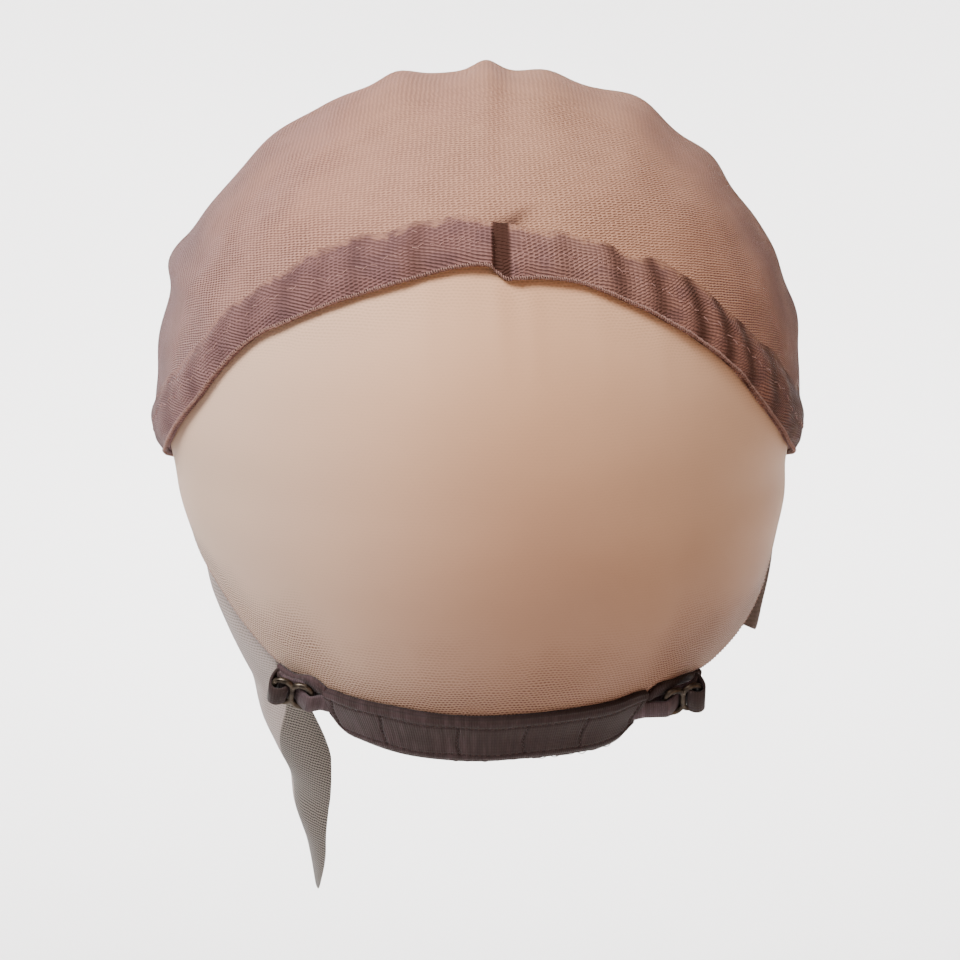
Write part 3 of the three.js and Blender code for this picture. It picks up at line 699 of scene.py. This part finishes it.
# The panel's free side edges are overcast with pale thread, from the band's binding up to the hem.
SIDE_SEAM = {"ranges": ((-92, -46), (50, 92)), "turns": 1.3, "radius": 0.4, "thread": 0.13}
pale_thread = spun("Pale sewing thread, spun polyester", "#c4a89c", "#9a7c70")
seams = []
for low, high in SIDE_SEAM["ranges"]:
    run = np.arange(low, high, 0.08)
    turns = 2 * np.pi * SIDE_SEAM["turns"] * run
    seams.append(on_head(
        run,
        panel_bottom(run) - 0.3 + SIDE_SEAM["radius"] * np.sin(turns),
        NET_TOP - PANEL_WALL / 2 + SIDE_SEAM["radius"] * np.cos(turns),
    ))
side_seams = threads("panel_side_seams", seams, SIDE_SEAM["thread"], sides=4)
sewn_on(side_seams, pale_thread)


# The nape band
# A casing of dark woven ribbon folded over the panel's lower edge, with the elastic inside. It is
# tacked across at intervals and topstitched along both edges, and its lower edge frays a little.

BAND_EDGES = {
    "angle": [-34, -32.3, -27, -18, -9, 0, 9, 18, 28, 33, 35.5],
    "top": [132.2, 132.2, 133.2, 134, 135.1, 135.5, 135.2, 134.8, 134.2, 133, 133],
    "bottom": [138.6, 142.8, 144.9, 146.9, 147.6, 147.8, 147.4, 147.3, 147.1, 145.6, 142.2],
}
BAND_WALL = 1.6
BAND_TOP = UNDER_CROWN + BAND_WALL
BAND_TACKS = (-32.4, -21.2, -4.7, 9.4, 22.3, 34.2)
BAND_SEAMS = (0.17, 0.82)


def band_drop(angle, share):
    top = read(BAND_EDGES, "angle", "top", angle)
    return top + (read(BAND_EDGES, "angle", "bottom", angle) - top) * share


def tack_lines(angle, share):
    """Where the casing is tacked across, between its two topstitched seams."""
    between = smoothstep(share, 0.13, 0.2) * (1 - smoothstep(share, 0.8, 0.87))
    return sum(bell(angle, tack + 0.3 * np.sin(share * 9), 0.32) for tack in BAND_TACKS) * between


def seam_lines(angle, share):
    """Where the topstitching draws the casing in."""
    waver = 0.012 * np.sin(np.radians(angle * 19))
    return sum(bell(share, seam + waver, 0.022) for seam in BAND_SEAMS)


def band_lift(angle, drop, share):
    """The casing is rounded at its edges, and swells between its tacks and seams."""
    edge = 1 - smoothstep(np.minimum(share, 1 - share), 0, 0.11)
    swell = 0.12 * np.sin(np.radians(angle * 27 + 60)) * np.sin(np.pi * share)
    drawn = 0.3 * tack_lines(angle, share) + 0.14 * seam_lines(angle, share)
    return BAND_TOP - 0.2 - 0.5 * edge - drawn + swell


# Painted shade in the casing's tacks and topstitched seams, and along its rims.
def band_shade(angle, share):
    rim = 1 - smoothstep(np.minimum(share, 1 - share), 0.005, 0.04)
    return np.clip(0.75 * tack_lines(angle, share) + 0.6 * seam_lines(angle, share) + 0.5 * rim, 0, 1)


# A wave texture's scale of WAVE / period gives bands that many millimetres apart.
WAVE = 2 * math.pi / 20


def woven(name, base, light, dark, rib, pick):
    """A flat woven ribbon: fine ribs across it, finer picks along it, and a dull gloss."""
    material, tree, shader = surface(name, 0.7, 0.1, 0.25)
    place = laid(tree, "Cloth")
    waves = [
        add(
            tree, "ShaderNodeTexWave",
            {"Vector": place, "Scale": WAVE / period, "Distortion": 1.2, "Detail": 2, "Detail Scale": 0.8},
            bands_direction=direction,
        ).outputs["Fac"]
        for direction, period in (("X", rib), ("Y", pick))
    ]
    weave = arithmetic(tree, "MULTIPLY", waves[0], arithmetic(tree, "MULTIPLY_ADD", waves[1], 0.35, 0.65))
    stretched = add(tree, "ShaderNodeVectorMath", {0: place, 1: (0.7, 0.1, 1)}, operation="MULTIPLY")
    streaks = noise(tree, stretched.outputs[0], 1, 3)
    # The tone darkens slowly along the ribbon; on the band, towards the wearer's right.
    streaks_darker_along = arithmetic(tree, "MULTIPLY_ADD", laid(tree, "Cloth", "X"), -0.005, streaks)
    tone = ramp(tree, streaks_darker_along, [(0.25, dark), (0.5, base), (0.8, light)])
    raised = blend(tree, arithmetic(tree, "MULTIPLY", weave, 0.25), tone, colour(light))
    # Painted shade where the Edge layer marks it: on the band, its tacks, seams and rims.
    with_painted_shade = blend(tree, laid(tree, "Edge", "X"), raised, colour("#1d1112"))
    tree.links.new(with_painted_shade, shader.inputs["Base Color"])
    sunk(tree, shader, arithmetic(tree, "SUBTRACT", 1, weave), 0.5, 0.00015)
    return material


band_ribbon = woven("Dark woven ribbon, nylon grosgrain", "#2f1f1d", "#463437", "#281918", 0.6, 0.8)

band = cloth(
    "nape_ribbon",
    angles=np.linspace(BAND_EDGES["angle"][0], BAND_EDGES["angle"][-1], 420),
    shares=np.linspace(0, 1, 70),
    top=lambda angle: band_drop(angle, 0),
    bottom=lambda angle: band_drop(angle, 1),
    lift=band_lift,
    wall=lambda share: 1.2,
    mapping=round_mapping,
    shade=band_shade,
)
sewn_on(band, band_ribbon)
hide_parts("nape_band")

# Topstitching, tacks and the threads that have worked loose along the lower edge.
dark_thread = spun("Dark sewing thread, spun polyester", "#4e2f2e", "#2c1a1a")
FRAYS = {"share": [0.985, 1.02, 1.045], "from": [-31, -8, 12], "to": [8, 22, 33], "wave": [0.5, 0.35, 0.4]}


def band_place(angle, share, above):
    drop = band_drop(angle, share)
    return on_head(angle, drop, band_lift(angle, drop, np.clip(share, 0, 1)) + above)


band_paths = []
for seam in BAND_SEAMS:
    for start in np.arange(-33, 34, 1.35):
        run = np.linspace(0, 1, 5)
        waver = 0.012 * np.sin(np.radians((start + run) * 19))
        band_paths.append(band_place(start + run, seam + waver, 0.06 - 0.2 * (2 * run - 1) ** 4))
for tack in BAND_TACKS:
    run = np.linspace(0.2, 0.8, 33)
    zigzag = 0.16 * np.sin(run * 70)
    band_paths.append(band_place(tack + 0.3 * np.sin(run * 9) + zigzag, run, 0.05))
for share, start, end, wave in zip(*FRAYS.values()):
    run = np.arange(start, end, 0.25)
    waver = 0.02 * wave * (np.sin(run * 1.1) + np.sin(run * 2.7 + share * 90))
    band_paths.append(band_place(run, share + waver, -0.5 + 0.2 * np.sin(run * 1.9)))
band_threads = threads("nape_threads", band_paths, 0.09)
sewn_on(band_threads, dark_thread)


# The adjusters
# On each side a woven elastic leaves the band, passes over the near bar of a bronzed wire slider and
# under its middle bar. A long ribbon loop holds the far bar and is sewn to the binding of the panel.

SLIDER = {"bar": 1.4, "pitch": 4.3, "height": 7.9, "corner": 1.9}
STRAP = {"width": 4.8, "thickness": 0.8, "shift": -0.4}
SIDES = {
    "left": {"angle": -39.8, "drop": 132, "band": -34, "binding": (-33.5, -46.2), "tab": 5.2},
    "right": {"angle": 43.4, "drop": 134.1, "band": 35.5, "binding": (35.2, 51.5), "tab": 6.4},
}
SLIDER_LIFT = UNDER_CROWN + 1 + 1.2 + 1 + SLIDER["bar"] / 2
SLIDER_DOWNTURN = 0.45
BINDING = {"above": 2.6, "below": 1.0, "lift": 0.4, "swell": 0.7, "drawn": 2.2, "from": 35, "full": 43}
TAB_THICKNESS = 0.6

elastic = woven("Woven elastic, mauve", "#493a3e", "#68565b", "#382b2f", 0.45, 0.6)
tab_ribbon = woven("Soft dark ribbon, nylon", "#2e2120", "#423333", "#241918", 0.6, 0.8)

# Bronzed wire is dark and dull in its hollows and rubbed to a brown gloss where it is handled.
bronzed_wire, tree, shader = surface("Bronzed steel wire", 0.4)
shader.inputs["Metallic"].default_value = 1
patina = noise(tree, on_piece(tree), 500, 4)
tree.links.new(
    ramp(tree, patina, [(0.35, "#3a342f"), (0.6, "#5f564c"), (0.8, "#857a6c")]), shader.inputs["Base Color"]
)
tree.links.new(fit(tree, patina, 0.3, 0.7, 0.3, 0.5), shader.inputs["Roughness"])


def ribbon_strip(name, path, outward, wide, width, thickness):
    """A strip of ribbon along a path of points, with softly rounded edges and coordinates along it."""
    along = np.gradient(path, axis=0)
    along /= np.linalg.norm(along, axis=1, keepdims=True)
    up = np.cross(along, wide)
    up /= np.linalg.norm(up, axis=1, keepdims=True)
    up *= np.sign(np.sum(up[0] * outward))
    half, thin = width / 2, thickness / 2
    section = [(-half, 0), (-half + thin * 0.6, thin), (0, thin), (half - thin * 0.6, thin), (half, 0),
               (half - thin * 0.6, -thin), (0, -thin), (-half + thin * 0.6, -thin)]
    run = np.concatenate([[0], np.cumsum(np.linalg.norm(np.diff(path, axis=0), axis=1))])
    points, mapping, faces = [], [], []
    count = len(section)
    for i, centre in enumerate(path):
        for across, above in section:
            points.append(centre + wide * across + up[i] * above)
            mapping.append((run[i], across))
    for i in range(len(path) - 1):
        for k in range(count):
            n = (k + 1) % count
            faces.append((i * count + k, (i + 1) * count + k, (i + 1) * count + n, i * count + n))
    faces.append(tuple(range(count)))
    faces.append(tuple((len(path) - 1) * count + k for k in reversed(range(count))))
    return as_mesh(name, points, faces, Cloth=mapping)


def binding_drop(angle, below):
    """The binding leaves the band along the panel's edge and is drawn down behind the slider."""
    drawn = smoothstep(np.abs(angle), BINDING["from"], BINDING["full"])
    return panel_bottom(angle) + below + BINDING["drawn"] * drawn


def arc(centre, radius, start, end, steps, shift=0.0):
    """Points of an arc round one of the slider's bars, in degrees, with a shift across the ribbon."""
    turn = np.radians(np.linspace(start, end, steps))
    return [(centre + radius * math.cos(t), radius * math.sin(t), shift) for t in turn]


def smooth_path(points, steps=4):
    """A denser path on a smooth curve through the points."""
    points = np.asarray(points, float)
    order = np.arange(len(points))
    table = {"at": order, **{k: points[:, k] for k in range(3)}}
    fine = np.linspace(0, len(points) - 1, (len(points) - 1) * steps + 1)
    return np.stack([read(table, "at", k, fine) for k in range(3)], axis=-1)


def slider_wire(direction):
    """Half of the slider's figure of eight: from the top of the middle bar round to its foot."""
    pitch, corner = SLIDER["pitch"] * direction, SLIDER["corner"]
    high = (SLIDER["height"] - SLIDER["bar"]) / 2
    quarter = np.radians(np.linspace(0, 90, 7))
    near = direction * corner
    first = [(near * (1 - math.cos(t)), high - corner + corner * math.sin(t)) for t in quarter]
    second = [(pitch - near * (1 - math.sin(t)), high - corner + corner * math.cos(t)) for t in quarter]
    upper = first + second
    return upper + [(x, -y) for x, y in reversed(upper)]


# The tab's loop, seen from its side: from the binding over the far bar almost to the middle bar, and
# back underneath. The columns run along the slider, outward from it and up across it.
TAB_LOOP = [(-4.6, -2.6, 1.1), (-5.1, -1.2, 0.5), (-5.1, 0.3, -0.2), (-4.5, 1.2, -0.7), (-3.3, 1.35, -0.9),
            (-2.0, 0.9, -0.6), (-1.35, 0, -0.3), (-2.1, -0.9, 0), (-3.4, -1.4, 0.2), (-4.2, -2.2, 0.6),
            (-4.4, -3, 0.9)]

for name, side in SIDES.items():
    centre = on_head(side["angle"], side["drop"], SLIDER_LIFT)
    strap_end = on_head(side["band"], band_drop(side["band"], 0.5), UNDER_CROWN + BAND_WALL - 0.5)
    along = strap_end - centre
    length = np.linalg.norm(along)
    along /= length
    outward = form_normal(side["angle"], math.sqrt(side["drop"]))
    outward[2] *= SLIDER_DOWNTURN
    outward -= along * np.dot(outward, along)
    outward /= np.linalg.norm(outward)
    wide = np.cross(outward, along)
    wide *= np.sign(wide[2])
    axes = np.stack([along, outward, wide])

    radius = SLIDER["bar"] / 2 + 0.15 + STRAP["thickness"] / 2
    crossing = math.degrees(math.acos(2 * radius / SLIDER["pitch"]))
    strap_path = [(length + 1.5, -0.1, 0), (length - 0.5, 0, 0), (length - 1.2, 0.1, 0)]
    strap_path += arc(SLIDER["pitch"], radius, 70, 180 - crossing, 7, STRAP["shift"])
    strap_path += arc(0, radius, -crossing, -150, 9, STRAP["shift"])
    strap = ribbon_strip(
        f"strap_{name}_elastic", centre + np.array(strap_path) @ axes, outward, wide, STRAP["width"],
        STRAP["thickness"],
    )
    sewn_on(strap, elastic)
    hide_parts(f"strap_{name}")

    # The elastic's end comes back under the slider and is sewn inside the band.
    under_path = [(length + 1.5, -1.5, 0), (length - 1, -1.7, 0), (SLIDER["pitch"], -1.8, 0), (0.6, -1.75, 0),
                  (-2.2, -1.9, 0), (-4, -2.4, 0.4)]
    under = ribbon_strip(
        f"strap_{name}_end", centre + smooth_path(under_path) @ axes, outward, wide, STRAP["width"] + 0.8,
        STRAP["thickness"],
    )
    sewn_on(under, elastic)

    wires = [centre + np.array(slider_wire(direction)) @ axes[[0, 2]] for direction in (-1, 1)]
    bar_half = (SLIDER["height"] - SLIDER["bar"]) / 2 - SLIDER["corner"] + 0.4
    wires.append(centre + np.linspace(-bar_half, bar_half, 5)[:, None] * wide)
    slider = threads(f"slider_{name}_wire", wires, SLIDER["bar"] / 2, sides=12)
    sewn_on(slider, bronzed_wire)
    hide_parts(f"slider_{name}")

    tab = ribbon_strip(
        f"tab_{name}_ribbon", centre + smooth_path(TAB_LOOP) @ axes, outward, wide, side["tab"], TAB_THICKNESS
    )
    sewn_on(tab, tab_ribbon)
    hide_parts(f"tab_{name}")

    start, end = sorted(side["binding"])
    binding = cloth(
        f"binding_{name}_ribbon",
        angles=np.linspace(start, end, 60),
        shares=np.linspace(0, 1, 10),
        top=lambda angle: binding_drop(angle, -BINDING["above"]),
        bottom=lambda angle: binding_drop(angle, BINDING["below"]),
        lift=lambda angle, drop, share: (
            UNDER_CROWN + BINDING["lift"] + BINDING["swell"] * np.sqrt(np.sin(np.pi * np.clip(share, 0, 1)))
        ),
        wall=lambda share: 0.7,
        mapping=round_mapping,
    )
    sewn_on(binding, band_ribbon)
    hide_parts(f"binding_{name}")


# The front lace
# Grey-mauve bobbinet with fine hexagonal holes. It runs from the right ear over the forehead and is
# left untrimmed on the left, where it hangs as a long tail whose rear edge is folded under, double.

LACE_EDGES = {
    "angle": [64, 68, 75, 85, 92, 98, 106, 114, 126, 142, 160, 180, 200, 218, 234, 246, 256, 262, 268, 276,
              284, 291, 297, 302, 306, 310, 312.5, 314.5, 316, 317, 317.6],
    "top": [124, 121, 115.5, 105.5, 96.5, 90, 89.5, 89.5, 81, 67, 55, 50, 55, 67, 81, 89.5, 89.5, 90, 96, 101,
            105.5, 108, 109.5, 111, 114, 124, 134, 142.5, 147, 150, 153],
    "bottom": [125, 126.5, 128, 129, 129, 129, 127, 124, 115, 100, 89, 84, 88, 102, 130, 160, 181, 189,
               193, 196, 197.5, 196, 190.5, 184, 177, 170.5, 167, 163.5, 160, 157, 155],
}
LACE_SWING = {
    "drop": [112, 122, 132, 142, 152, 160, 168, 176, 186, 198],
    "left": [2.5, 2.5, 2.5, 2.6, 3.4, 2.2, 1, 2.6, 2.2, 2.2],
    "right": [3, 3.2, 5.6, 5.6, 5.6, 5.6, 5.6, 5.6, 5.6, 5.6],
}
LACE_LIFT = 0.5
LACE_END = 317.6

# The front edge of the folded strip of the tail, as angles down its length.
FOLDED_STRIP = {"drop": [110, 128, 143, 152, 160, 167, 176, 186, 198],
                "angle": [310, 309, 305, 299, 292, 287, 286, 285, 284]}


def lace_swing(angle, drop):
    """The free ends stand off the head below the panel, the tail's rear edge least."""
    right = angle < 180
    below = drop - panel_bottom(np.where(right, angle, angle - 360))
    free = smoothstep(below, 0.5, np.where(right, 5, 12))
    near_right = 1 - smoothstep(angle, 86, 102)
    near_left = smoothstep(angle, 236, 262) * (1 - smoothstep(angle, 290, 316))
    swing_right = read(LACE_SWING, "drop", "right", drop) * near_right
    swing_left = read(LACE_SWING, "drop", "left", drop) * near_left
    return np.where(right, swing_right, swing_left) * free


# Bobbinet is soft and matt. One layer is a pale veil; the folded rear edge is darker, since its holes are
# painted with the shadow between the layers. Painted shade darkens the strip that lies under the panel's
# edge, and the lace towards the right ear.
LACE_NET = {"across": 1.25, "row": 0.72}

front_net, tree, shader = surface("Bobbinet lace, grey mauve", 0.8, 0.1, 0.2)
lace_place = laid(tree, "Cloth")
past_strip = laid(tree, "Edge", "X")
lace_holes = net_holes(tree, drifting(tree, lace_place, 0.2, 0.8), **LACE_NET)
folded = fit(tree, past_strip, -0.4, 0.6)
# Painted shade where the lace runs under the panel's edge.
shade_under_panel = fit(tree, laid(tree, "Edge", "Y"), 2, 9, 1, 0)
smudges = fit(tree, noise(tree, lace_place, 0.12, 3), 0.45, 0.7)
veil = ramp(tree, smudges, [(0, "#b3a49e"), (1, "#aa9b95")])
thread_tone = blend(tree, folded, veil, colour("#7f756c"))
wide_holes = fit(tree, lace_holes, 0.05, 0.5)
hole_share = arithmetic(tree, "MULTIPLY", wide_holes, arithmetic(tree, "MAXIMUM", folded, 0.25))
netted = blend(tree, hole_share, thread_tone, colour("#120d0a"))
# Painted shade on the lace towards the right ear.
painted_lighting_at_right = fit(tree, past_strip, -215, -195, 0.7, 0)
painted_shade_share = arithmetic(tree, "MAXIMUM", arithmetic(tree, "MULTIPLY", shade_under_panel, 0.6), painted_lighting_at_right)
shaded = blend(tree, painted_shade_share, netted, colour("#4d423e"))
tree.links.new(shaded, shader.inputs["Base Color"])
closed_up = arithmetic(tree, "MAXIMUM", folded, painted_lighting_at_right)
see_through = arithmetic(tree, "MULTIPLY", lace_holes, arithmetic(tree, "SUBTRACT", 0.25, closed_up))
opaque = arithmetic(tree, "SUBTRACT", 1, arithmetic(tree, "MAXIMUM", see_through, 0))
clear = add(tree, "ShaderNodeBsdfTransparent")
net = add(tree, "ShaderNodeMixShader", {0: opaque, 1: clear.outputs[0], 2: shader.outputs[0]})
tree.links.new(net.outputs[0], tree.nodes["Material Output"].inputs["Surface"])

lace_angle, lace_share = np.meshgrid(np.linspace(64, LACE_END, 400), np.linspace(0, 1, 80), indexing="ij")
lace_top = read(LACE_EDGES, "angle", "top", lace_angle)
lace_drop = lace_top + (read(LACE_EDGES, "angle", "bottom", lace_angle) - lace_top) * lace_share
lace_points = on_head(lace_angle, lace_drop, LACE_LIFT + lace_swing(lace_angle, lace_drop)).reshape(-1, 3)
lace_index = np.arange(lace_angle.size).reshape(lace_angle.shape)
lace_faces = np.stack(
    [lace_index[:-1, :-1], lace_index[:-1, 1:], lace_index[1:, 1:], lace_index[1:, :-1]], axis=-1
).reshape(-1, 4)
past_fold = lace_angle - read(FOLDED_STRIP, "drop", "angle", lace_drop)
below_panel = lace_drop - panel_bottom(np.where(lace_angle < 180, lace_angle, lace_angle - 360))
lace = as_mesh(
    "lace_net", lace_points, lace_faces.tolist(),
    Cloth=np.stack([np.radians(lace_angle.ravel()) * 70, -lace_drop.ravel()], axis=-1),
    Edge=np.stack([past_fold.ravel(), below_panel.ravel()], axis=-1),
)
sewn_on(lace, front_net)
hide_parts("front_lace")


# Floor, light and camera
# A plain pale sweep well below and behind the cap with its own soft lights, a broad key light from the
# upper left, a faint warm one from the right, and a camera just above the level behind the head.

FLOOR = -0.6
WALL = 1.3
BEND = 0.5
plaster, tree, shader = surface("Pale matt paint", 0.9)
paint_tone = ramp(tree, noise(tree, on_piece(tree), 3), [(0.3, "#e9e8e8"), (0.7, "#edecec")])
tree.links.new(paint_tone, shader.inputs["Base Color"])

sweep_run = [(-2.5, FLOOR), (WALL - BEND, FLOOR)]
for turn in np.radians(np.arange(6, 91, 6)):
    sweep_run.append((WALL - BEND + BEND * math.sin(turn), FLOOR + BEND - BEND * math.cos(turn)))
sweep_run.append((WALL, 3.0))
sweep_points = [(x, y, z) for y, z in sweep_run for x in (-3, 3)]
sweep_faces = [(2 * i, 2 * i + 1, 2 * i + 3, 2 * i + 2) for i in range(len(sweep_run) - 1)]
sweep = as_mesh("floor_sweep", np.array(sweep_points) / MM, sweep_faces)
sweep.data.materials.append(plaster)

world = bpy.data.worlds.new("Studio")
bpy.context.scene.world = world
world.use_nodes = True
world.node_tree.nodes["Background"].inputs["Color"].default_value = colour("#e8d3c4")
world.node_tree.nodes["Background"].inputs["Strength"].default_value = 0.3


def soft_light(name, place, target, size, power, tint, spread=180):
    """A square area light that faces a target, with its spread in degrees."""
    lamp = bpy.data.lights.new(name, "AREA")
    lamp.size = size
    lamp.energy = power
    lamp.color = colour(tint)[:3]
    lamp.spread = math.radians(spread)
    holder = bpy.data.objects.new(name, lamp)
    holder.location = place
    x, y, z = np.array(target) - np.array(place)
    holder.rotation_euler = math.acos(-z / math.hypot(x, y, z)), 0, math.atan2(-x, y)
    bpy.context.scene.collection.objects.link(holder)


HEAD_MIDDLE = (0, 0, -0.1)
soft_light("key", (-0.55, -0.75, 0.95), HEAD_MIDDLE, 0.6, 36, "#fffdfb")
soft_light("warm", (0.9, -0.9, -0.1), HEAD_MIDDLE, 0.9, 3, "#ffc79c")
for side in (-1, 1):
    on_wall = (0.1 * side, WALL, -0.35)
    soft_light(f"backdrop {side}", (1.1 * side, 0.25, 0.45), on_wall, 0.6, 16, "#ffffff", 80)

CAMERA_DISTANCE = 0.5
CAMERA_ELEVATION = 10
TARGET_DROP = 0.098
camera_data = bpy.data.cameras.new("camera")
camera_data.lens = 75.94
camera_data.sensor_width = 36
camera = bpy.data.objects.new("camera", camera_data)
rise = math.radians(CAMERA_ELEVATION)
camera.location = (0, -CAMERA_DISTANCE * math.cos(rise), CAMERA_DISTANCE * math.sin(rise) - TARGET_DROP)
camera.rotation_euler = (math.radians(90 - CAMERA_ELEVATION), 0, 0)
bpy.context.scene.collection.objects.link(camera)
bpy.context.scene.camera = camera
